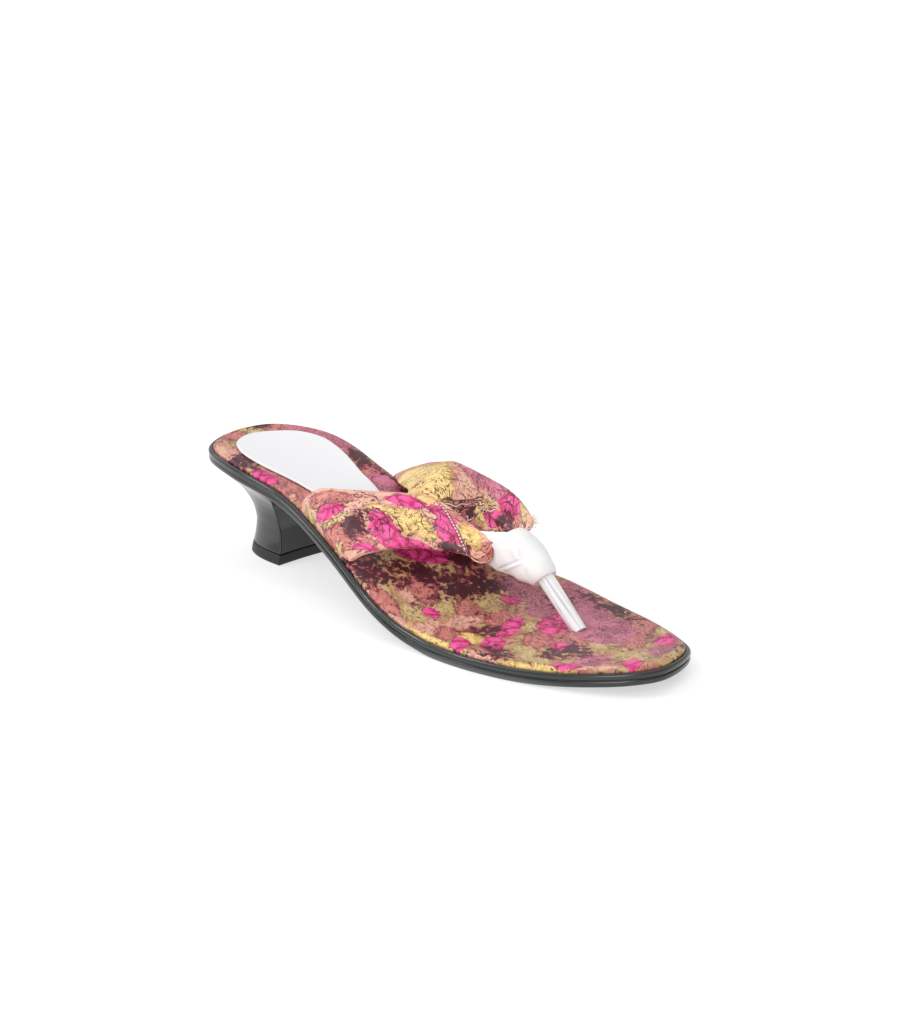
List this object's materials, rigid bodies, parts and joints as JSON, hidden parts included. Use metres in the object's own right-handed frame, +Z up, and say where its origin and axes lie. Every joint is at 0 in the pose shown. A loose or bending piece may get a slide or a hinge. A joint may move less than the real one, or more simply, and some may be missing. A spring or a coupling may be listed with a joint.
{
  "type": "heeled thong sandal",
  "caption": "Low-heeled thong sandal with a cloth-covered footbed and two cloth bands tied down between the toes.",
  "frame": {"origin": "centre of the outline on the floor, under the middle of the bounding box", "axes": "+X towards the toe, +Y towards the inner (medial) side of the foot, +Z up"},
  "size_m": [0.2536, 0.0886, 0.0538],
  "materials": {
    "black_sole": "satin moulded black",
    "black_tip": "matte black",
    "printed_satin": "satin cloth with a rose, khaki and burgundy flower print",
    "white_pad": "smooth white lining",
    "printed_satin_bands": "satin cloth with a pink, gold and cream flower print",
    "white_satin": "white satin",
    "clear_sleeve": "clear and soft",
    "white_core": "white cord"
  },
  "bodies": {
    "root": {"sole_unit": "black_sole", "heel_tip": "black_tip", "footbed": "printed_satin", "heel_pad": "white_pad", "upper_straps": "printed_satin_bands", "knot_wrap": "white_satin", "toe_post_sleeve": "clear_sleeve", "toe_post_core": "white_core"}
  },
  "joints": []
}
